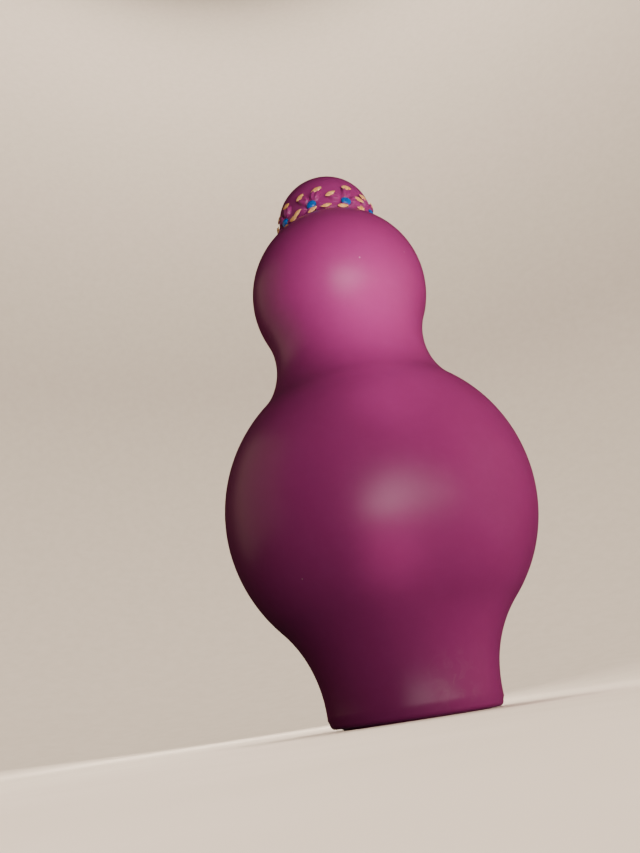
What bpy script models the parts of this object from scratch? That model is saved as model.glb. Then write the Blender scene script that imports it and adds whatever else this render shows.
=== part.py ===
"""A soft squeeze toy: a gourd-shaped hollow skin on a small foot, with a flowered crown knob.

Frame: metres, +Z up, origin at the centre of the underside of the foot. Azimuth 0 faces -Y
and azimuths grow towards +X. The skin is drawn as two spheres and a short foot, joined by
two hollow fillets; everything else is fitted to it.
"""
import math

import bmesh
import bpy
from mathutils import Matrix, Vector

MM = 0.001

# Skin
FOOT_RIM_RADIUS = 17.7 * MM
FOOT_RADIUS = 18.0 * MM
FOOT_FILLET = 26.5 * MM
RIM_HEIGHT = 0.5 * MM            # the skin's rim stays this far above the surface it stands on
RIM_ROUNDING = 1.0 * MM
BIG_BULB_RADIUS = 35.0 * MM
BIG_BULB_HEIGHT = 44.7 * MM
WAIST_FILLET = 24.0 * MM
UPPER_BULB_RADIUS = 22.9 * MM
UPPER_BULB_HEIGHT = 103.9 * MM
WALL = 2.0 * MM
NECK_HOLE_RADIUS = 7.0 * MM

# Crown knob
KNOB_RADIUS = 13.0 * MM
DOME_HEIGHT = 11.4 * MM          # the dome is half a flattened ball on top of the band
DOME_BASE = 129.6 * MM
KNOB_LIP_HEIGHT = 123.2 * MM
KNOB_WALL = 2.0 * MM
SPIGOT_BORE = 4.0 * MM
SNAP_FLANGE_RADIUS = 8.4 * MM
SNAP_FLANGE_DEPTH = 2.4 * MM
SPIGOT_TIP_RADIUS = 5.6 * MM
SPIGOT_LENGTH = 7.6 * MM

# Blossoms round the knob
FLOWERS = 9
FIRST_FLOWER = math.radians(-12)
# Hand-made, so no two neighbours match: where each petal points, clockwise from straight up
PETAL_FANS = ((24, 129, 180, 250, 322), (10, 69, 114, 192, 298))
FLOWER_HEIGHT = 125.0 * MM
LOWER_SQUASH = 0.5               # the lower petals are pressed against the crease
PETAL_CENTRE = 3.2 * MM
PETAL_HALF_LENGTH = 1.9 * MM
PETAL_HALF_WIDTH = 1.4 * MM
PETAL_RELIEF = 0.7 * MM
CENTRE_WIDTH = 2.5 * MM
CENTRE_THICKNESS = 1.2 * MM
CENTRE_CLEARANCE = 0.6 * MM      # a drop's underside clears the roots of its petals
BAND_DEPTH = 0.36 * MM           # the blossoms also shape the dome's and the lip's first ring

# Foot plate and squeaker
GAP = 0.3 * MM
PLATE_THICKNESS = 3.0 * MM
PLATE_COLLAR_HEIGHT = 8.0 * MM
PLATE_COLLAR_WALL = 1.6 * MM
SQUEAKER_RADIUS = 7.0 * MM
SQUEAKER_HEIGHT = 12.0 * MM
SQUEAKER_WALL = 1.2 * MM
SQUEAKER_RECESS = 0.5 * MM
FLANGE_RADIUS = 8.6 * MM
FLANGE_THICKNESS = 1.2 * MM
VENT_RADIUS = 1.5 * MM
CAP_THICKNESS = 1.4 * MM
CAP_HOLE_RADIUS = 3.0 * MM
SEAT_BASE_THICKNESS = 1.6 * MM
SEAT_POST_RADIUS = 2.6 * MM
SEAT_POST_HEIGHT = 5.6 * MM
SEAT_SLOT_WIDTH = 1.6 * MM
SEAT_SLOT_DEPTH = 1.5 * MM
REED_SIZE = (3.6 * MM, 0.35 * MM, 5.2 * MM)

SKIN_SEGMENTS = 40
KNOB_SEGMENTS = 72
SMALL_SEGMENTS = 32


def clear_scene():
    for item in list(bpy.data.objects):
        bpy.data.objects.remove(item, do_unlink=True)


def plastic(name, colour, roughness):
    made = bpy.data.materials.new(name)
    made.use_nodes = True
    shader = made.node_tree.nodes["Principled BSDF"]
    shader.inputs["Base Color"].default_value = (*colour, 1.0)
    shader.inputs["Roughness"].default_value = roughness
    shader.inputs["Metallic"].default_value = 0.0
    made.diffuse_color = (*colour, 1.0)
    return made


def arc(centre, radius, start, end, steps):
    """Points (r, z) on a circle, from angle start to end in degrees, both ends included."""
    points = []
    for i in range(steps + 1):
        angle = math.radians(start + (end - start) * i / steps)
        points.append((centre[0] + radius * math.cos(angle), centre[1] + radius * math.sin(angle)))
    return points


def direction(start, end):
    """Angle in degrees of the line from start to end in the (r, z) plane."""
    return math.degrees(math.atan2(end[1] - start[1], end[0] - start[0]))


def waist_centre():
    """Centre of the hollow fillet that touches both bulbs from outside."""
    to_lower = BIG_BULB_RADIUS + WAIST_FILLET
    to_upper = UPPER_BULB_RADIUS + WAIST_FILLET
    apart = UPPER_BULB_HEIGHT - BIG_BULB_HEIGHT
    rise = (apart ** 2 + to_lower ** 2 - to_upper ** 2) / (2 * apart)
    return math.sqrt(to_lower ** 2 - rise ** 2), BIG_BULB_HEIGHT + rise


def foot_centre():
    """Centre of the hollow fillet that touches the foot's wall and the big bulb."""
    across = FOOT_RADIUS + FOOT_FILLET
    reach = BIG_BULB_RADIUS + FOOT_FILLET
    return across, BIG_BULB_HEIGHT - math.sqrt(reach ** 2 - across ** 2)


def skin_line(inset, foot_steps, bulb_steps, waist_steps, upper_steps):
    """The skin's outline from the top of the foot to the neck hole, moved inwards by inset."""
    foot = foot_centre()
    waist = waist_centre()
    big = (0.0, BIG_BULB_HEIGHT)
    upper = (0.0, UPPER_BULB_HEIGHT)
    top = 90 - math.degrees(math.asin(NECK_HOLE_RADIUS / (UPPER_BULB_RADIUS - inset)))
    line = arc(foot, FOOT_FILLET + inset, 180, direction(foot, big), foot_steps)
    line += arc(big, BIG_BULB_RADIUS - inset, direction(big, foot), direction(big, waist),
                bulb_steps)[1:]
    line += arc(waist, WAIST_FILLET + inset, 360 + direction(waist, big),
                direction(waist, upper), waist_steps)[1:]
    line += arc(upper, UPPER_BULB_RADIUS - inset, direction(upper, waist), top, upper_steps)[1:]
    return line


def revolve(outline, segments):
    """A closed body from an outline (r, z) that runs outside upwards; it may end on the axis."""
    mesh = bmesh.new()
    corners = [mesh.verts.new((r, 0.0, z)) for r, z in outline]
    edges = [mesh.edges.new(pair) for pair in zip(corners, corners[1:])]
    if outline[0][0] > 0 or outline[-1][0] > 0:
        edges.append(mesh.edges.new((corners[-1], corners[0])))
    bmesh.ops.spin(mesh, geom=corners + edges, cent=(0, 0, 0), axis=(0, 0, 1),
                   angle=2 * math.pi, steps=segments, use_duplicate=False)
    bmesh.ops.remove_doubles(mesh, verts=mesh.verts, dist=1e-7)
    bmesh.ops.recalc_face_normals(mesh, faces=mesh.faces)
    return mesh


def make_object(name, mesh, material, sharp_angle=35):
    data = bpy.data.meshes.new(name)
    mesh.to_mesh(data)
    mesh.free()
    data.materials.append(material)
    data.shade_smooth()
    data.set_sharp_from_angle(angle=math.radians(sharp_angle))
    made = bpy.data.objects.new(name, data)
    bpy.context.scene.collection.objects.link(made)
    return made


def body_shell(material):
    rim = (FOOT_RIM_RADIUS - RIM_ROUNDING, RIM_HEIGHT + RIM_ROUNDING)
    outline = arc(rim, RIM_ROUNDING, 270, 360, 3)
    outline += skin_line(0.0, 5, 12, 6, 9)
    outline += reversed(skin_line(WALL, 4, 8, 4, 6))
    outline.append((FOOT_RIM_RADIUS - WALL, RIM_HEIGHT))
    return make_object("body_shell", revolve(outline, SKIN_SEGMENTS), material)


def flower_places():
    """Azimuth of each blossom, and the directions of its petals in degrees."""
    for i in range(FLOWERS):
        yield FIRST_FLOWER + 2 * math.pi * i / FLOWERS, PETAL_FANS[i % len(PETAL_FANS)]


def petal_directions(fan):
    """Unit (across, up) of each petal of a blossom."""
    for degrees in fan:
        angle = math.radians(degrees)
        yield math.sin(angle), math.cos(angle)


def petal_relief(azimuth, height):
    """How far the petals stand out of the knob at a place on its band."""
    highest = 0.0
    for place, fan in flower_places():
        across = (azimuth - place + math.pi) % (2 * math.pi) - math.pi
        across *= KNOB_RADIUS
        up = height - FLOWER_HEIGHT
        if up < 0:
            up /= LOWER_SQUASH
        for side, rise in petal_directions(fan):
            along = across * side + up * rise - PETAL_CENTRE
            aside = across * rise - up * side
            inside = 1 - (along / PETAL_HALF_LENGTH) ** 2 - (aside / PETAL_HALF_WIDTH) ** 2
            if inside > 0:
                highest = max(highest, PETAL_RELIEF * math.sqrt(inside))
    return highest


def knob_outline():
    """Dome, band, seat on the upper bulb, snap flange, spigot and the hollow inside."""
    flatten = DOME_HEIGHT / KNOB_RADIUS
    dome = arc((0.0, 0.0), KNOB_RADIUS, 0, 90, 8)
    dome[-1] = (0.0, KNOB_RADIUS)
    rows = 7
    band = [(KNOB_RADIUS, KNOB_LIP_HEIGHT + (DOME_BASE - KNOB_LIP_HEIGHT) * i / rows)
            for i in range(rows)]
    outer = band + [(r, DOME_BASE + z * flatten) for r, z in dome]

    spigot = NECK_HOLE_RADIUS - GAP
    seat_radius = UPPER_BULB_RADIUS + GAP
    seat_start = math.degrees(math.acos(spigot / seat_radius))
    seat_end = math.degrees(math.acos((KNOB_RADIUS - GAP) / seat_radius))
    seat = arc((0.0, UPPER_BULB_HEIGHT), seat_radius, seat_start, seat_end, 4)

    inner_bulb = UPPER_BULB_RADIUS - WALL - GAP
    flange_top = UPPER_BULB_HEIGHT + math.sqrt(inner_bulb ** 2 - SNAP_FLANGE_RADIUS ** 2)
    tip = flange_top - SPIGOT_LENGTH
    inside = KNOB_RADIUS - KNOB_WALL
    hollow = arc((0.0, 0.0), inside, 90, 0, 4)
    hollow[0] = (0.0, inside)
    hollow = [(r, DOME_BASE + z * (DOME_HEIGHT - KNOB_WALL) / inside) for r, z in hollow]
    return hollow + [
        (inside, DOME_BASE - KNOB_WALL),
        (SPIGOT_BORE, KNOB_LIP_HEIGHT + 2 * KNOB_WALL),
        (SPIGOT_BORE, tip),
        (SPIGOT_TIP_RADIUS, tip),
        (SNAP_FLANGE_RADIUS, flange_top - SNAP_FLANGE_DEPTH),
        (SNAP_FLANGE_RADIUS, flange_top),
        (spigot, flange_top),
    ] + seat + outer


def crown_knob(material):
    mesh = revolve(knob_outline(), KNOB_SEGMENTS)
    for vert in mesh.verts:
        radius = math.hypot(vert.co.x, vert.co.y)
        on_band = radius > KNOB_RADIUS - BAND_DEPTH and vert.co.z > KNOB_LIP_HEIGHT - GAP
        if on_band:
            azimuth = math.atan2(vert.co.x, -vert.co.y)
            vert.co.xy *= 1 + petal_relief(azimuth, vert.co.z) / radius
    return make_object("crown_knob", mesh, material, 50)


def band_frame(azimuth, height, lift):
    """Matrix that stands something on the band: X along it, Y up, Z outwards."""
    outward = Vector((math.sin(azimuth), -math.cos(azimuth), 0.0))
    along = Vector((math.cos(azimuth), math.sin(azimuth), 0.0))
    up = Vector((0.0, 0.0, 1.0))
    place = outward * (KNOB_RADIUS + lift) + up * height
    turned = Matrix((along, up, outward)).transposed().to_4x4()
    return Matrix.Translation(place) @ turned


def centre_mesh(material):
    """A flattened drop, lying in its own XY plane."""
    mesh = bmesh.new()
    half = CENTRE_WIDTH / 2
    flatten = Matrix.Diagonal((half, half, CENTRE_THICKNESS / 2, 1.0))
    bmesh.ops.create_uvsphere(mesh, u_segments=12, v_segments=6, radius=1.0, matrix=flatten)
    data = bpy.data.meshes.new("flower_centre")
    mesh.to_mesh(data)
    mesh.free()
    data.materials.append(material)
    data.shade_smooth()
    return data


def flower_centres(material):
    """One coloured drop in the middle of each blossom, all sharing one mesh."""
    data = centre_mesh(material)
    lift = CENTRE_CLEARANCE + CENTRE_THICKNESS / 2
    drops = []
    for number, (azimuth, _) in enumerate(flower_places(), start=1):
        drop = bpy.data.objects.new(f"flower_centre_{number}", data)
        drop.matrix_world = band_frame(azimuth, FLOWER_HEIGHT, lift)
        bpy.context.scene.collection.objects.link(drop)
        drops.append(drop)
    return drops


def foot_plate(material):
    outer = FOOT_RIM_RADIUS - WALL - GAP
    hole = SQUEAKER_RADIUS + GAP
    recess = FLANGE_RADIUS + GAP
    shelf = SQUEAKER_RECESS + FLANGE_THICKNESS + GAP
    collar = outer - PLATE_COLLAR_WALL
    outline = [(recess, 0.0), (outer - 0.4 * MM, 0.0), (outer, 0.4 * MM),
               (outer, PLATE_COLLAR_HEIGHT), (collar, PLATE_COLLAR_HEIGHT),
               (collar, PLATE_THICKNESS), (hole + WALL, PLATE_THICKNESS),
               (hole + WALL, 2 * PLATE_THICKNESS), (hole, 2 * PLATE_THICKNESS),
               (hole, shelf), (recess, shelf)]
    return make_object("foot_plate", revolve(outline, SKIN_SEGMENTS), material)


def squeaker_housing(material):
    floor = SQUEAKER_RECESS + FLANGE_THICKNESS
    bore = SQUEAKER_RADIUS - SQUEAKER_WALL
    outline = [(VENT_RADIUS, SQUEAKER_RECESS), (FLANGE_RADIUS, SQUEAKER_RECESS),
               (FLANGE_RADIUS, floor), (SQUEAKER_RADIUS, floor),
               (SQUEAKER_RADIUS, SQUEAKER_HEIGHT), (bore, SQUEAKER_HEIGHT),
               (bore, floor), (VENT_RADIUS, floor)]
    return make_object("squeaker_housing", revolve(outline, SMALL_SEGMENTS), material)


def squeaker_cap(material):
    top = SQUEAKER_HEIGHT + GAP + CAP_THICKNESS
    plug = SQUEAKER_RADIUS - SQUEAKER_WALL - GAP
    outline = [(CAP_HOLE_RADIUS, SQUEAKER_HEIGHT - CAP_THICKNESS),
               (plug, SQUEAKER_HEIGHT - CAP_THICKNESS), (plug, SQUEAKER_HEIGHT + GAP),
               (SQUEAKER_RADIUS, SQUEAKER_HEIGHT + GAP), (SQUEAKER_RADIUS, top),
               (CAP_HOLE_RADIUS, top)]
    return make_object("squeaker_cap", revolve(outline, SMALL_SEGMENTS), material)


def seat_bottom():
    return SQUEAKER_RECESS + FLANGE_THICKNESS + GAP


def reed_seat(material):
    """A round base with a half-round post; the air slot runs up the post's flat face."""
    bottom = seat_bottom()
    top = bottom + SEAT_BASE_THICKNESS
    base = SQUEAKER_RADIUS - SQUEAKER_WALL - GAP
    half = SEAT_SLOT_WIDTH / 2
    deep = -SEAT_SLOT_DEPTH
    post = arc((0.0, 0.0), SEAT_POST_RADIUS, 180, 360, 10)
    post += [(half, 0.0), (half, deep), (-half, deep), (-half, 0.0)]
    disc = revolve([(VENT_RADIUS / 3, bottom), (base, bottom), (base, top), (VENT_RADIUS / 3, top)],
                   SMALL_SEGMENTS)
    made = make_object("reed_seat", disc, material)

    column = bmesh.new()
    ring = [column.verts.new((x, y, top - SEAT_BASE_THICKNESS / 2)) for x, y in post]
    face = column.faces.new(ring)
    raised = bmesh.ops.extrude_face_region(column, geom=[face])["geom"]
    lifted = [item for item in raised if isinstance(item, bmesh.types.BMVert)]
    height = SEAT_POST_HEIGHT + SEAT_BASE_THICKNESS / 2
    bmesh.ops.translate(column, verts=lifted, vec=(0, 0, height))
    bmesh.ops.recalc_face_normals(column, faces=column.faces)
    tool = make_object("reed_seat_post", column, material)
    tool.hide_render = True
    tool.display_type = "WIRE"
    join = made.modifiers.new("post", "BOOLEAN")
    join.operation = "UNION"
    join.solver = "EXACT"
    join.object = tool
    return made


def squeaker_reed(material):
    """The strip stands on the seat's base and leans on the post; its hinge is its foot."""
    width, thick, height = REED_SIZE
    foot = seat_bottom() + SEAT_BASE_THICKNESS + GAP
    mesh = bmesh.new()
    bmesh.ops.create_cube(mesh, size=1.0, matrix=Matrix.Diagonal((width, thick, height, 1.0)))
    bmesh.ops.translate(mesh, verts=mesh.verts, vec=(0, 0, height / 2))
    made = make_object("squeaker_reed", mesh, material)
    made.location = (0.0, GAP + thick / 2, foot)
    return made


def joint_empty(name, place):
    empty = bpy.data.objects.new(name, None)
    empty.location = place
    bpy.context.scene.collection.objects.link(empty)
    return empty


def put_on(parent, *children):
    for child in children:
        child.parent = parent
        child.location = child.location - parent.location


def build():
    clear_scene()
    skin = plastic("purple_soft_vinyl", (0.31, 0.04, 0.17), 0.42)
    knob = plastic("purple_knob_vinyl", (0.30, 0.04, 0.18), 0.42)
    blue = plastic("blue_paint", (0.01, 0.13, 0.48), 0.3)
    plate = plastic("plum_plate_vinyl", (0.14, 0.02, 0.08), 0.5)
    white = plastic("white_plastic", (0.8, 0.79, 0.75), 0.4)
    grey = plastic("grey_plastic", (0.55, 0.55, 0.55), 0.45)
    amber = plastic("reed_film", (0.75, 0.6, 0.35), 0.25)

    shell = body_shell(skin)
    crown = crown_knob(knob)
    centres = flower_centres(blue)
    foot_plate(plate)
    squeaker_housing(white)
    squeaker_cap(white)
    reed_seat(grey)
    squeaker_reed(amber)

    squeeze = joint_empty("squeeze_axis", (0.0, 0.0, 0.0))
    turn = joint_empty("knob_axis", (0.0, 0.0, 0.0))
    put_on(squeeze, shell, turn)
    put_on(turn, crown, *centres)


build()
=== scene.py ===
"""Looks for the squeeze toy: soft vinyl skin, flowered crown knob, painted drops and strokes.

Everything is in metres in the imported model's frame: +Z up, origin under the foot, -Y towards
the camera. Azimuths start at -Y and grow towards +X.
"""
import math
import random

import bmesh
import bpy
import numpy as np
from mathutils import Matrix, Vector, noise


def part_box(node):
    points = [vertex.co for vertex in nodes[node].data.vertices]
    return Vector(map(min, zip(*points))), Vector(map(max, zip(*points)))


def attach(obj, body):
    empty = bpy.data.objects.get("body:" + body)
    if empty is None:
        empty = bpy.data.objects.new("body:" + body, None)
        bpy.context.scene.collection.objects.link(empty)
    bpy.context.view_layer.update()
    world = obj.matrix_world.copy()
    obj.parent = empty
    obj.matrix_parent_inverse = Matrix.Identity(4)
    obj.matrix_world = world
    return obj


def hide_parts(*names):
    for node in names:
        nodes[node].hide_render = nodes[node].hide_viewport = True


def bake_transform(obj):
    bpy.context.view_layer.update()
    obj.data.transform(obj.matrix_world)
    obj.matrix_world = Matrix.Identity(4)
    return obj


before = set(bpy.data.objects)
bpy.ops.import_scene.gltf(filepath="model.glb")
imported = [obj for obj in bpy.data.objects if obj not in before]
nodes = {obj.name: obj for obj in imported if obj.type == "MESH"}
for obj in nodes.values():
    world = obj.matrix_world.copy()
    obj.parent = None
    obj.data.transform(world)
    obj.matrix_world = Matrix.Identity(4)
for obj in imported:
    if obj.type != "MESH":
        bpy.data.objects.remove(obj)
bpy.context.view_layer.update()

MM = 0.001

# Corners of CAD nodes, which the detailed pieces are placed by
SKIN_LOW, SKIN_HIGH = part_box("body_shell")
KNOB_LOW, KNOB_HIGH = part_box("crown_knob")

# Skin: two spheres and a short foot, joined by two hollow fillets
BIG_RADIUS = SKIN_HIGH.x
BIG_HEIGHT = 44.7 * MM
UPPER_RADIUS = 22.9 * MM
UPPER_HEIGHT = 103.9 * MM
WAIST_FILLET = 24.0 * MM
FOOT_RIM_RADIUS = 17.7 * MM
FOOT_RADIUS = 18.0 * MM
FOOT_FILLET = 26.5 * MM
RIM_HEIGHT = SKIN_LOW.z
RIM_ROUNDING = 1.1 * MM
WALL = 2.0 * MM
NECK_HOLE_RADIUS = 7.0 * MM
SKIN_SEGMENTS = 224

# Slow unevenness of the skin: waves per metre and depth
SLOW_WAVES = 26.0
SLOW_DEPTH = 0.14 * MM
MEDIUM_WAVES = 62.0
MEDIUM_DEPTH = 0.04 * MM

# Shallow dimples and swellings: azimuth in degrees, height, reach, and how far they stand out
DENTS = (
    (22, 29 * MM, 13 * MM, -0.45 * MM),
    (-8, 33 * MM, 11 * MM, 0.25 * MM),
    (38, 55 * MM, 16 * MM, 0.30 * MM),
)
DENT_RADIUS = 30 * MM
DENT_LIMIT = 2.5

# The unevenness fades out towards the foot's rim and under the knob
CALM_FOOT = 4 * MM
CALM_FOOT_FADE = 14 * MM
CALM_TOP = UPPER_HEIGHT + 0.75 * UPPER_RADIUS
CALM_TOP_FADE = 12 * MM

# The foot's rim hangs a little below its CAD edge and lower on the right
TRIM_REACH = 9 * MM
TRIM_DROP = 0.25 * MM
TRIM_SLANT = 0.15 * MM

# Knob
KNOB_RADIUS = 13.0 * MM
DOME_HEIGHT = 11.4 * MM
DOME_BASE = KNOB_HIGH.z - DOME_HEIGHT
LIP_HEIGHT = 123.2 * MM
LIP_ROUNDING = 0.5 * MM
BAND_ROWS = 34
BAND_TOP = 133 * MM
KNOB_SEGMENTS = 432
KNOB_WAVES = 130.0
KNOB_UNEVENNESS = 0.12 * MM

# The knob's snap-in spigot
SPIGOT_BORE = 4.0 * MM
SPIGOT_LOW = KNOB_LOW.z
SPIGOT_TIP_RADIUS = 5.6 * MM
FLANGE_RADIUS = 8.4 * MM
FLANGE_TOP = SPIGOT_LOW + 7.6 * MM
FLANGE_BOTTOM = FLANGE_TOP - 2.4 * MM
SEAT_GAP = 0.3 * MM

# Blossoms
FLOWERS = 9
FIRST_FLOWER = math.radians(-12)
# Where each petal points, in degrees clockwise from straight up; two fans take turns
PETAL_FANS = ((24, 129, 180, 250, 322), (10, 69, 114, 192, 298))
FLOWER_HEIGHT = 125.0 * MM
FLOWER_HALF_ANGLE = 0.6
LOWER_SQUASH = 0.5
PETAL_CENTRE = 3.2 * MM
PETAL_HALF_LENGTH = 2.0 * MM
PETAL_HALF_WIDTH = 1.5 * MM
PETAL_RELIEF = 0.9 * MM
PETAL_STEEPNESS = 1.4
GROOVE_DEPTH = 0.22
GROOVE_WIDTH = 0.3 * MM

# Thick paint on the blossoms: length, width and thickness of a drop, and how deep it sits
CENTRE_SIZE = (2.7 * MM, 2.6 * MM, 1.4 * MM)
CENTRE_LIFT = 0.42 * MM
CENTRE_WOBBLE = 0.035
TIP_SIZE = (2.9 * MM, 1.35 * MM, 0.55 * MM)
TIP_LIFT = 0.08 * MM
TIP_WOBBLE = 0.04
TIP_POINTED = 0.38
TIP_DISTANCE = 4.6 * MM


# ---------------------------------------------------------------- outlines and solids

def arc(centre, radius, start, end, steps):
    """Points (r, z) on a circle, from angle start to end in degrees, both ends included."""
    turns = np.radians(np.linspace(start, end, steps + 1))
    return [(centre[0] + radius * math.cos(t), centre[1] + radius * math.sin(t)) for t in turns]


def direction(start, end):
    """Angle in degrees of the way from start to end."""
    return math.degrees(math.atan2(end[1] - start[1], end[0] - start[0]))


def waist_centre():
    """Centre of the hollow fillet between the two spheres."""
    to_lower = BIG_RADIUS + WAIST_FILLET
    to_upper = UPPER_RADIUS + WAIST_FILLET
    apart = UPPER_HEIGHT - BIG_HEIGHT
    rise = (apart ** 2 + to_lower ** 2 - to_upper ** 2) / (2 * apart)
    return math.sqrt(to_lower ** 2 - rise ** 2), BIG_HEIGHT + rise


def foot_centre():
    """Centre of the hollow fillet between the foot and the big sphere."""
    across = FOOT_RADIUS + FOOT_FILLET
    reach = BIG_RADIUS + FOOT_FILLET
    return across, BIG_HEIGHT - math.sqrt(reach ** 2 - across ** 2)


def skin_line(inset, foot_steps, bulb_steps, waist_steps, upper_steps):
    """The skin's outline from the foot to the neck hole, moved inwards by inset."""
    foot = foot_centre()
    waist = waist_centre()
    big = (0.0, BIG_HEIGHT)
    upper = (0.0, UPPER_HEIGHT)
    top = 90 - math.degrees(math.asin(NECK_HOLE_RADIUS / (UPPER_RADIUS - inset)))
    line = arc(foot, FOOT_FILLET + inset, 180, direction(foot, big), foot_steps)
    line += arc(big, BIG_RADIUS - inset, direction(big, foot), direction(big, waist),
                bulb_steps)[1:]
    line += arc(waist, WAIST_FILLET + inset, 360 + direction(waist, big),
                direction(waist, upper), waist_steps)[1:]
    line += arc(upper, UPPER_RADIUS - inset, direction(upper, waist), top, upper_steps)[1:]
    return line


def turned_mesh(name, outline, segments, closed=True):
    """A turned body from an outline that runs up the outside; a closed one may end on the axis."""
    on_axis = 1e-9
    turns = np.arange(segments) * 2 * np.pi / segments
    verts = []
    rings = []
    for r, z in outline:
        if r < on_axis:
            rings.append([len(verts)] * segments)
            verts.append((0.0, 0.0, z))
        else:
            rings.append(list(range(len(verts), len(verts) + segments)))
            verts += [(r * math.sin(t), -r * math.cos(t), z) for t in turns]
    pairs = list(zip(rings, rings[1:]))
    if closed and (outline[0][0] > on_axis or outline[-1][0] > on_axis):
        pairs.append((rings[-1], rings[0]))
    faces = []
    for low, high in pairs:
        for i in range(segments):
            j = (i + 1) % segments
            corners = [low[i], low[j], high[j], high[i]]
            face = list(dict.fromkeys(corners))
            if len(face) > 2:
                faces.append(face)
    mesh = bpy.data.meshes.new(name)
    mesh.from_pydata(verts, [], faces)
    mesh.update()
    return mesh


def link(name, mesh, material, sharp_angle=40):
    """Puts a smooth-shaded mesh into the scene; edges over sharp_angle degrees stay sharp."""
    mesh.materials.append(material)
    mesh.shade_smooth()
    mesh.set_sharp_from_angle(angle=math.radians(sharp_angle))
    made = bpy.data.objects.new(name, mesh)
    bpy.context.scene.collection.objects.link(made)
    return made


def clamped(x):
    return min(1.0, max(0.0, x))


# ---------------------------------------------------------------- the skin

def hand_made(point):
    """Slow unevenness of the slush-moulded skin, in metres along the radius."""
    slow = noise.noise(point * SLOW_WAVES + Vector((3.1, 7.7, 1.9)))
    medium = noise.noise(point * MEDIUM_WAVES + Vector((8.4, 2.2, 5.5)))
    return SLOW_DEPTH * slow + MEDIUM_DEPTH * medium


def outwards(azimuth):
    """Level unit vector away from the axis."""
    return Vector((math.sin(azimuth), -math.cos(azimuth), 0.0))


def make_skin(material):
    """The hollow skin of the two bulbs and the foot, open at the foot and the neck."""
    outline = arc((FOOT_RIM_RADIUS - RIM_ROUNDING, RIM_HEIGHT + RIM_ROUNDING), RIM_ROUNDING,
                  270, 360, 6)
    outline += skin_line(0.0, 26, 72, 34, 60)
    outline += reversed(skin_line(WALL, 6, 14, 8, 10))
    outline.append((FOOT_RIM_RADIUS - WALL, RIM_HEIGHT))
    mesh = turned_mesh("soft_skin", outline, SKIN_SEGMENTS)

    dents = []
    for azimuth, height, reach, depth in DENTS:
        centre = outwards(math.radians(azimuth)) * DENT_RADIUS
        centre.z = height
        dents.append((centre, reach, depth))
    for vert in mesh.vertices:
        place = vert.co.copy()
        outward = Vector((place.x, place.y, 0.0)).normalized()
        calm = clamped((place.z - CALM_FOOT) / CALM_FOOT_FADE)
        calm *= clamped((CALM_TOP - place.z) / CALM_TOP_FADE)
        push = hand_made(place) * calm
        for centre, reach, depth in dents:
            near = (place - centre).length / reach
            if near < DENT_LIMIT:
                push += depth * calm * math.exp(-near * near)
        place += outward * push
        trim = max(0.0, 1 - place.z / TRIM_REACH)
        place.z -= trim * (TRIM_DROP + TRIM_SLANT * outward.x)
        vert.co = place
    return link("soft_skin", mesh, material)


# ---------------------------------------------------------------- the knob and its blossoms

def flower_places():
    """Azimuth of each blossom, and the directions of its petals in degrees."""
    for i in range(FLOWERS):
        yield FIRST_FLOWER + 2 * math.pi * i / FLOWERS, PETAL_FANS[i % len(PETAL_FANS)]


def petal_directions(fan):
    """Unit (across, up) of each petal of a blossom."""
    for degrees in fan:
        angle = math.radians(degrees)
        yield math.sin(angle), math.cos(angle)


def soft_step(x):
    x = clamped(x)
    return x * x * (3 - 2 * x)


def petal_relief(azimuth, height):
    """How far the petals stand out of the knob at a place on its band."""
    highest = 0.0
    for place, fan in flower_places():
        across = (azimuth - place + math.pi) % (2 * math.pi) - math.pi
        if abs(across) > FLOWER_HALF_ANGLE:
            continue
        across *= KNOB_RADIUS
        up = height - FLOWER_HEIGHT
        if up < 0:
            up /= LOWER_SQUASH
        for side, rise in petal_directions(fan):
            along = across * side + up * rise - PETAL_CENTRE
            aside = across * rise - up * side
            inside = 1 - (along / PETAL_HALF_LENGTH) ** 2 - (aside / PETAL_HALF_WIDTH) ** 2
            if inside > 0:
                pillow = soft_step(inside * PETAL_STEEPNESS)
                groove = 1 - GROOVE_DEPTH * math.exp(-(aside / GROOVE_WIDTH) ** 2)
                highest = max(highest, PETAL_RELIEF * pillow * groove)
    return highest


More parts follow.
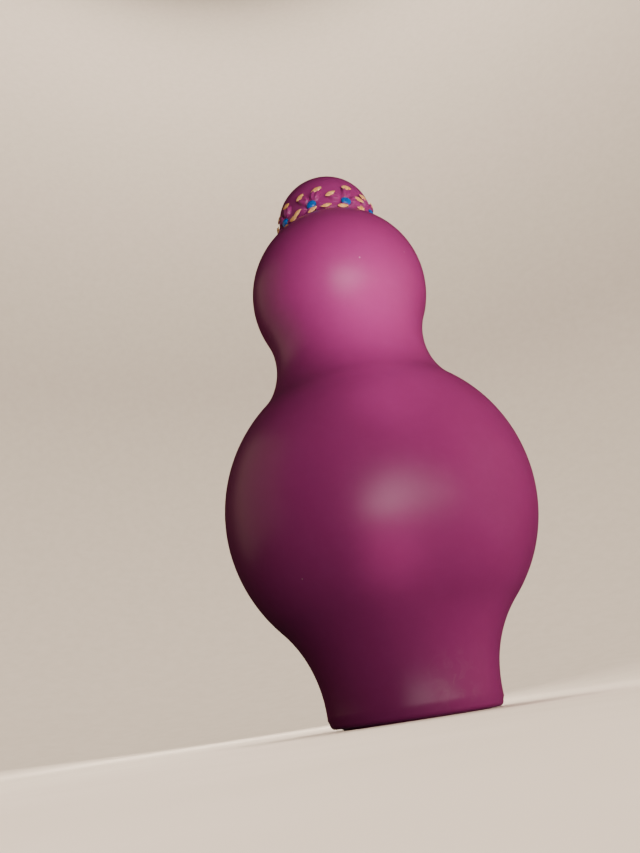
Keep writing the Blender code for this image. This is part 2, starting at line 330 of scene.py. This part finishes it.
def make_knob(material):
    """The hollow knob: dome, band with raised petals, and the spigot inside the neck."""
    dome = [(r, DOME_BASE + z * DOME_HEIGHT / KNOB_RADIUS)
            for r, z in arc((0.0, 0.0), KNOB_RADIUS, 0, 90, 40)]
    dome[-1] = (0.0, DOME_BASE + DOME_HEIGHT)
    band_low = LIP_HEIGHT + LIP_ROUNDING
    band = [(KNOB_RADIUS, band_low + (DOME_BASE - band_low) * i / BAND_ROWS)
            for i in range(BAND_ROWS)]
    lip = arc((KNOB_RADIUS - LIP_ROUNDING, band_low), LIP_ROUNDING, 290, 350, 4)

    seat_radius = UPPER_RADIUS + SEAT_GAP
    spigot = NECK_HOLE_RADIUS - SEAT_GAP
    seat_edge = KNOB_RADIUS - 0.6 * MM
    seat = arc((0.0, UPPER_HEIGHT), seat_radius, math.degrees(math.acos(spigot / seat_radius)),
               math.degrees(math.acos(seat_edge / seat_radius)), 6)
    inside = KNOB_RADIUS - WALL
    hollow = [(r, DOME_BASE + z * (DOME_HEIGHT - WALL) / inside)
              for r, z in arc((0.0, 0.0), inside, 90, 0, 10)]
    hollow[0] = (0.0, DOME_BASE + DOME_HEIGHT - WALL)
    outline = hollow + [
        (inside, DOME_BASE - WALL),
        (SPIGOT_BORE, LIP_HEIGHT + 2 * WALL),
        (SPIGOT_BORE, SPIGOT_LOW),
        (SPIGOT_TIP_RADIUS, SPIGOT_LOW),
        (FLANGE_RADIUS, FLANGE_BOTTOM),
        (FLANGE_RADIUS, FLANGE_TOP),
        (spigot, FLANGE_TOP),
    ] + seat + lip + band + dome
    mesh = turned_mesh("flowered_knob", outline, KNOB_SEGMENTS)

    petals_low = LIP_HEIGHT - 0.4 * MM
    petals_inner = KNOB_RADIUS * 0.93
    uneven_low = DOME_BASE - 3 * MM
    uneven_inner = inside + 0.5 * MM
    for vert in mesh.vertices:
        place = vert.co.copy()
        radius = math.hypot(place.x, place.y)
        if petals_low < place.z < BAND_TOP and radius > petals_inner:
            azimuth = math.atan2(place.x, -place.y)
            push = petal_relief(azimuth, place.z)
            place.x *= 1 + push / radius
            place.y *= 1 + push / radius
        if radius > uneven_inner and place.z > uneven_low:
            place += place.normalized() * KNOB_UNEVENNESS * noise.noise(place * KNOB_WAVES)
        vert.co = place
    return link("flowered_knob", mesh, material)


def band_frame(azimuth, height, lift):
    """Matrix that stands something on the band: X along it, Y up, Z outwards."""
    outward = outwards(azimuth)
    along = Vector((math.cos(azimuth), math.sin(azimuth), 0.0))
    up = Vector((0.0, 0.0, 1.0))
    place = outward * (KNOB_RADIUS + lift) + up * height
    turned = Matrix((along, up, outward)).transposed().to_4x4()
    return Matrix.Translation(place) @ turned


def paint_drop(size, pointed, wobble, chance):
    """A drop of thick paint lying in its XY plane: a domed top, uneven edge, flat underside."""
    flat_underside = 0.35
    thin_ends = 0.25 * pointed
    mesh = bmesh.new()
    bmesh.ops.create_uvsphere(mesh, u_segments=36, v_segments=18, radius=1.0)
    phase = chance.uniform(0, 2 * math.pi)
    for vert in mesh.verts:
        x, y, z = vert.co
        turn = math.atan2(y, x)
        edge = 1 + wobble * (math.sin(2 * turn + phase) + 0.6 * math.sin(3 * turn + 2.1 * phase))
        narrow = 1 - abs(x) ** 1.6 * pointed
        x *= edge
        y *= edge * narrow
        z *= (flat_underside if z < 0 else 1.0) * (1 - thin_ends * abs(x))
        vert.co = Vector((x * size[0] / 2, y * size[1] / 2, z * size[2] / 2))
    return mesh


def make_centres(material):
    """Blue drops in the middle of the blossoms, each standing for its CAD drop."""
    chance = random.Random(41)
    for number, (azimuth, _) in enumerate(flower_places(), start=1):
        drop = paint_drop(CENTRE_SIZE, 0.0, CENTRE_WOBBLE, chance)
        spin = Matrix.Rotation(chance.uniform(0, math.pi), 4, "Z")
        drop.transform(band_frame(azimuth, FLOWER_HEIGHT, CENTRE_LIFT) @ spin)
        name = f"blue_drop_{number}"
        data = bpy.data.meshes.new(name)
        drop.to_mesh(data)
        drop.free()
        made = link(name, data, material, 80)
        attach(made, "knob")
        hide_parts(f"flower_centre_{number}")


def make_tips(material):
    """Yellow strokes at the petals' outer ends, painted by hand, all in one piece."""
    length, width, thickness = TIP_SIZE
    chance = random.Random(17)
    whole = bmesh.new()
    scratch = bpy.data.meshes.new("scratch")
    for azimuth, fan in flower_places():
        for side, rise in petal_directions(fan):
            up = TIP_DISTANCE * rise * (LOWER_SQUASH if rise < 0 else 1.0)
            place = azimuth + TIP_DISTANCE * side / KNOB_RADIUS
            place += chance.uniform(-0.02, 0.02)
            size = (length * chance.uniform(0.9, 1.1), width * chance.uniform(0.88, 1.12),
                    thickness)
            stroke = paint_drop(size, TIP_POINTED, TIP_WOBBLE, chance)
            lean = math.radians(chance.uniform(-12, 30))
            lift = TIP_LIFT + petal_relief(place, FLOWER_HEIGHT + up)
            stand = band_frame(place, max(FLOWER_HEIGHT + up, LIP_HEIGHT), lift)
            stroke.transform(stand @ Matrix.Rotation(lean, 4, "Z"))
            stroke.to_mesh(scratch)
            stroke.free()
            whole.from_mesh(scratch)
    data = bpy.data.meshes.new("petal_strokes")
    whole.to_mesh(data)
    whole.free()
    bpy.data.meshes.remove(scratch)
    made = link("petal_strokes", data, material, 80)
    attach(made, "knob")


# ---------------------------------------------------------------- materials

class Nodes:
    """A small helper that builds a Principled material's node tree."""

    def __init__(self, name, roughness, specular=0.5):
        self.material = bpy.data.materials.new(name)
        self.material.use_nodes = True
        self.tree = self.material.node_tree
        self.shader = self.tree.nodes["Principled BSDF"]
        self.shader.inputs["Roughness"].default_value = roughness
        self.shader.inputs["Specular IOR Level"].default_value = specular
        coordinates = self.tree.nodes.new("ShaderNodeTexCoord")
        self.object_space = coordinates.outputs["Object"]

    def put(self, socket, value):
        """Links another node's output to a socket, or sets the socket to a plain value."""
        if isinstance(value, bpy.types.NodeSocket):
            self.tree.links.new(value, socket)
        else:
            socket.default_value = value

    def noise(self, scale, detail=3.0, roughness=0.5, distortion=0.0):
        made = self.tree.nodes.new("ShaderNodeTexNoise")
        self.put(made.inputs["Vector"], self.object_space)
        made.inputs["Scale"].default_value = scale
        made.inputs["Detail"].default_value = detail
        made.inputs["Roughness"].default_value = roughness
        made.inputs["Distortion"].default_value = distortion
        return made.outputs["Fac"]

    def cells(self, scale):
        """Distance to the middle of the nearest cell."""
        made = self.tree.nodes.new("ShaderNodeTexVoronoi")
        self.put(made.inputs["Vector"], self.object_space)
        made.inputs["Scale"].default_value = scale
        return made.outputs["Distance"]

    def ramp(self, value, stops):
        """Colours at positions from 0 to 1 along value."""
        made = self.tree.nodes.new("ShaderNodeValToRGB")
        self.put(made.inputs["Fac"], value)
        for element, (position, colour) in zip(made.color_ramp.elements, stops, strict=True):
            element.position = position
            element.color = (*colour, 1.0)
        return made.outputs["Color"]

    def grey(self, value, low, high, start=0.0, end=1.0):
        """Maps value from start..end to low..high."""
        made = self.tree.nodes.new("ShaderNodeMapRange")
        self.put(made.inputs["Value"], value)
        made.inputs["From Min"].default_value = start
        made.inputs["From Max"].default_value = end
        made.inputs["To Min"].default_value = low
        made.inputs["To Max"].default_value = high
        return made.outputs["Result"]

    def arithmetic(self, operation, a, b):
        made = self.tree.nodes.new("ShaderNodeMath")
        made.operation = operation
        self.put(made.inputs[0], a)
        self.put(made.inputs[1], b)
        return made.outputs["Value"]

    def mix(self, factor, a, b):
        """Colour a where factor is 0, the plain colour b where it is 1."""
        made = self.tree.nodes.new("ShaderNodeMix")
        made.data_type = "RGBA"
        colours_in = [socket for socket in made.inputs if socket.type == "RGBA"]
        colours_out = [socket for socket in made.outputs if socket.type == "RGBA"]
        self.put(made.inputs["Factor"], factor)
        self.put(colours_in[0], a)
        self.put(colours_in[1], (*b, 1.0))
        return colours_out[0]

    def near(self, centre, radius):
        """1 at a place on the object, fading to 0 at radius."""
        offset = self.tree.nodes.new("ShaderNodeVectorMath")
        offset.operation = "DISTANCE"
        self.put(offset.inputs[0], self.object_space)
        offset.inputs[1].default_value = centre
        return self.grey(offset.outputs["Value"], low=1.0, high=0.0, start=0.0, end=radius)

    def bump(self, height, distance, strength, before=None):
        """Surface relief of distance metres, on top of the relief before it."""
        made = self.tree.nodes.new("ShaderNodeBump")
        made.inputs["Strength"].default_value = strength
        made.inputs["Distance"].default_value = distance
        self.put(made.inputs["Height"], height)
        if before is not None:
            self.put(made.inputs["Normal"], before)
        return made.outputs["Normal"]


def vinyl(name, light, dark, scuffs):
    """Soft vinyl: slow colour drift, satin roughness, fine orange peel, specks and scuffs."""
    middle_roughness = 0.31
    made = Nodes(name, middle_roughness, 0.36)
    bsdf = made.shader.inputs
    drift = made.noise(38.0, detail=4.0, roughness=0.55)
    colour = made.ramp(drift, [(0.3, dark), (0.7, light)])
    mottle = made.grey(made.noise(420.0, roughness=0.6), low=0.0, high=0.10, start=0.45, end=0.75)
    paler = tuple(min(1.0, channel * 1.25 + 0.02) for channel in light)
    colour = made.mix(mottle, colour, paler)

    # Tiny pale specks in some of the cells
    dot = made.grey(made.cells(150.0), low=1.0, high=0.0, start=0.028, end=0.040)
    chosen = made.grey(made.noise(75.0, detail=0.0), low=0.0, high=1.0, start=0.62, end=0.64)
    speck = made.arithmetic("MULTIPLY", dot, chosen)
    colour = made.mix(made.arithmetic("MULTIPLY", speck, 0.55), colour, (0.62, 0.42, 0.42))

    patchy = made.noise(95.0, detail=5.0, roughness=0.6)
    roughness = made.grey(patchy, low=middle_roughness - 0.03, high=middle_roughness + 0.03,
                          start=0.3, end=0.7)
    for centre, radius, strength in scuffs:
        streaks = made.grey(made.noise(330.0, distortion=1.6), low=0.0, high=1.0,
                            start=0.5, end=0.72)
        worn = made.arithmetic("MULTIPLY", made.near(centre, radius), streaks)
        worn = made.arithmetic("MULTIPLY", worn, strength)
        colour = made.mix(worn, colour, (0.48, 0.25, 0.34))
        rougher = made.arithmetic("MULTIPLY", worn, 0.15)
        roughness = made.arithmetic("ADD", roughness, rougher)
    made.put(bsdf["Base Color"], colour)
    made.put(bsdf["Roughness"], roughness)
    bsdf["Subsurface Weight"].default_value = 0.08
    bsdf["Subsurface Radius"].default_value = (0.0022, 0.0006, 0.0010)
    bsdf["Subsurface Scale"].default_value = 1.0

    peel = made.bump(made.noise(1500.0, detail=2.0), distance=0.04 * MM, strength=0.08)
    pores = made.bump(made.noise(420.0, detail=4.0, roughness=0.6), distance=0.08 * MM,
                      strength=0.07, before=peel)
    made.put(bsdf["Normal"], pores)
    return made.material


def thick_paint(name, light, dark, roughness, coat):
    """Hand-laid paint: streaks of thinner colour and a skin with tiny ridges."""
    made = Nodes(name, roughness)
    bsdf = made.shader.inputs
    streaks = made.noise(900.0, distortion=0.8)
    made.put(bsdf["Base Color"], made.ramp(streaks, [(0.36, dark), (0.58, light)]))
    made.put(bsdf["Roughness"],
             made.grey(made.noise(1200.0), low=roughness - 0.06, high=roughness + 0.08,
                       start=0.3, end=0.7))
    bsdf["Coat Weight"].default_value = coat
    bsdf["Coat Roughness"].default_value = 0.15
    made.put(bsdf["Normal"], made.bump(made.noise(1600.0), distance=0.06 * MM, strength=0.5))
    return made.material


def moulded(name, light, dark, roughness):
    """Hard moulded plastic with faint flow lines and a fine grain."""
    made = Nodes(name, roughness)
    bsdf = made.shader.inputs
    flow = made.noise(180.0, detail=4.0, distortion=1.5)
    made.put(bsdf["Base Color"], made.ramp(flow, [(0.35, dark), (0.65, light)]))
    made.put(bsdf["Roughness"],
             made.grey(made.noise(600.0), low=roughness - 0.05, high=roughness + 0.08,
                       start=0.3, end=0.7))
    made.put(bsdf["Normal"], made.bump(made.noise(2200.0), distance=0.03 * MM, strength=0.4))
    return made.material


def paint_node(name, material):
    """Gives a CAD node that stays visible its finished material."""
    mesh = nodes[name].data
    mesh.materials.clear()
    mesh.materials.append(material)
    mesh.set_sharp_from_angle(angle=math.radians(35))


# ---------------------------------------------------------------- stage, lights and camera

STAGE_RADIUS = 1.5
STAGE_BEND = 0.9
STAGE_TOP = 4.5

WARM = (1.0, 0.84, 0.70)
MILD = (1.0, 0.88, 0.84)
BROWN = (1.0, 0.72, 0.48)

# The camera stands close in front of the foot and looks up along the toy; angles in degrees
CAMERA_DISTANCE = 0.14856
CAMERA_HEIGHT = 0.00126
CAMERA_PITCH = 24.11
CAMERA_YAW = -4.0
CAMERA_ROLL = -8.82
CAMERA_NEAREST = 0.005
LENS_MM = 28.07
SENSOR_MM = 36.0


def make_stage():
    """A pale floor that curves up into a round wall; it throws no light back on the toy."""
    pale = Nodes("pale_stage", 0.9, 0.1)
    pale.put(pale.shader.inputs["Base Color"],
             pale.ramp(pale.noise(60.0), [(0.3, (0.76, 0.70, 0.62)), (0.7, (0.80, 0.74, 0.66))]))
    outline = [(0.0, 0.0), (0.2, 0.0)]
    outline += arc((STAGE_RADIUS - STAGE_BEND, STAGE_BEND), STAGE_BEND, 270, 360, 24)
    outline.append((STAGE_RADIUS, STAGE_TOP))
    stage = link("stage", turned_mesh("stage", outline, 96, closed=False), pale.material, 80)
    stage.visible_diffuse = False
    stage.visible_glossy = False
    stage.visible_shadow = False
    return stage


def area_light(name, place, target, size, power, spread, colour, glossy=True):
    """A light panel of size metres, aimed at target; spread in degrees, power in watts."""
    data = bpy.data.lights.new(name, "AREA")
    data.shape = "RECTANGLE"
    data.size, data.size_y = size
    data.energy = power
    data.spread = math.radians(spread)
    data.color = colour
    made = bpy.data.objects.new(name, data)
    made.location = place
    aim = Vector(target) - Vector(place)
    made.rotation_euler = aim.to_track_quat("-Z", "Y").to_euler()
    made.visible_camera = False
    made.visible_glossy = glossy
    bpy.context.scene.collection.objects.link(made)
    return made


def light_only(light, piece):
    """The light shines on this piece alone; everything still throws a shadow in it."""
    group = bpy.data.collections.new(light.name + "_receivers")
    group.objects.link(piece)
    light.light_linking.receiver_collection = group


def make_lights(stage):
    """Soft near lights from the front right that leave the foot dark, and dim warm rims."""
    crown = (0.0, 0.0, 0.108)
    middle = (0.0, 0.0, 0.080)
    glint = (0.004, -0.019, 0.091)
    lobe = (0.001, -0.030, 0.029)
    heel = (0.008, -0.016, 0.005)
    area_light("key", place=(0.165, -0.190, 0.025), target=crown, size=(0.12, 0.12),
               power=0.040, spread=50, colour=WARM, glossy=False)
    area_light("softbox", place=(0.047, -0.200, 0.047), target=crown, size=(0.15, 0.15),
               power=0.048, spread=60, colour=MILD)
    area_light("pane_left", place=(0.0115, -0.0685, 0.0560), target=glint, size=(0.005, 0.036),
               power=0.0024, spread=50, colour=MILD)
    area_light("pane_right", place=(0.040, -0.058, 0.0585), target=glint, size=(0.006, 0.022),
               power=0.0019, spread=50, colour=MILD)
    area_light("low_glow", place=(0.010, -0.110, 0.004), target=lobe, size=(0.006, 0.014),
               power=0.00016, spread=12, colour=WARM, glossy=False)
    area_light("left_rim", place=(-0.50, 0.02, 0.24), target=middle, size=(0.5, 0.5),
               power=0.40, spread=180, colour=BROWN)
    area_light("right_rim", place=(0.50, 0.0, 0.07), target=middle, size=(0.45, 0.45),
               power=1.9, spread=180, colour=WARM, glossy=False)
    area_light("foot_sheen", place=(0.122, -0.113, 0.008), target=heel, size=(0.05, 0.03),
               power=0.0005, spread=24, colour=MILD)
    area_light("back_fill", place=(-0.15, 0.55, 0.28), target=middle, size=(0.45, 0.45),
               power=3.8, spread=180, colour=WARM, glossy=False)
    overhead = area_light("floor_light", place=(0.0, 0.2, 2.8), target=(0, 0, 0),
                          size=(1.6, 1.6), power=85, spread=180, colour=WARM)
    wall_wash = area_light("wall_light", place=(0.0, -1.0, 1.2), target=(0, 1.0, 1.2),
                           size=(1.4, 1.4), power=30, spread=180, colour=WARM)
    light_only(overhead, stage)
    light_only(wall_wash, stage)
    world = bpy.data.worlds.new("studio")
    world.use_nodes = True
    background = world.node_tree.nodes["Background"].inputs
    background["Color"].default_value = (1.0, 0.9, 0.8, 1.0)
    background["Strength"].default_value = 0.014
    bpy.context.scene.world = world


def make_camera():
    data = bpy.data.cameras.new("camera")
    data.sensor_width = SENSOR_MM
    data.lens = LENS_MM
    data.clip_start = CAMERA_NEAREST
    made = bpy.data.objects.new("camera", data)
    yaw = Matrix.Rotation(math.radians(-CAMERA_YAW), 3, "Z")
    pitch = Matrix.Rotation(math.radians(90 + CAMERA_PITCH), 3, "X")
    roll = Matrix.Rotation(math.radians(CAMERA_ROLL), 3, "Z")
    place = Matrix.Translation((0.0, -CAMERA_DISTANCE, CAMERA_HEIGHT))
    made.matrix_world = place @ (yaw @ pitch @ roll).to_4x4()
    bpy.context.scene.collection.objects.link(made)
    bpy.context.scene.camera = made


# ---------------------------------------------------------------- everything together

make_camera()
make_lights(make_stage())

# A scuff on the front of the foot: centre, radius and strength
FOOT_SCUFF = ((0.0085, -0.0165, 0.0055), 0.007, 0.22)
skin_material = vinyl("purple_vinyl", light=(0.33, 0.037, 0.190), dark=(0.295, 0.031, 0.168),
                      scuffs=[FOOT_SCUFF])
knob_material = vinyl("purple_knob_vinyl", light=(0.32, 0.036, 0.195),
                      dark=(0.285, 0.031, 0.172), scuffs=[])
blue_paint = thick_paint("blue_paint", light=(0.005, 0.13, 0.52), dark=(0.003, 0.08, 0.36),
                         roughness=0.30, coat=0.3)
yellow_paint = thick_paint("yellow_paint", light=(0.98, 0.56, 0.23), dark=(0.82, 0.42, 0.09),
                           roughness=0.42, coat=0.0)
# The foot plate is a darker copy of the purple vinyl: painted shade for the shadowed underside of
# the foot's rim
plate_vinyl = vinyl("plum_plate_vinyl", light=(0.16, 0.02, 0.08), dark=(0.13, 0.016, 0.065),
                    scuffs=[])
white_plastic = moulded("white_plastic", light=(0.80, 0.79, 0.75), dark=(0.74, 0.72, 0.67),
                        roughness=0.4)
grey_plastic = moulded("grey_plastic", light=(0.55, 0.55, 0.55), dark=(0.48, 0.48, 0.48),
                       roughness=0.45)
reed_film = moulded("reed_film", light=(0.75, 0.60, 0.35), dark=(0.66, 0.50, 0.27),
                    roughness=0.25)

skin = make_skin(skin_material)
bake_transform(skin)
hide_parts("body_shell")

knob = make_knob(knob_material)
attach(knob, "knob")
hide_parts("crown_knob")

make_centres(blue_paint)
make_tips(yellow_paint)

# The foot plate gets the darker purple vinyl, painted shade under the rim
paint_node("foot_plate", plate_vinyl)
paint_node("squeaker_housing", white_plastic)
paint_node("squeaker_cap", white_plastic)
paint_node("reed_seat", grey_plastic)
paint_node("squeaker_reed", reed_film)
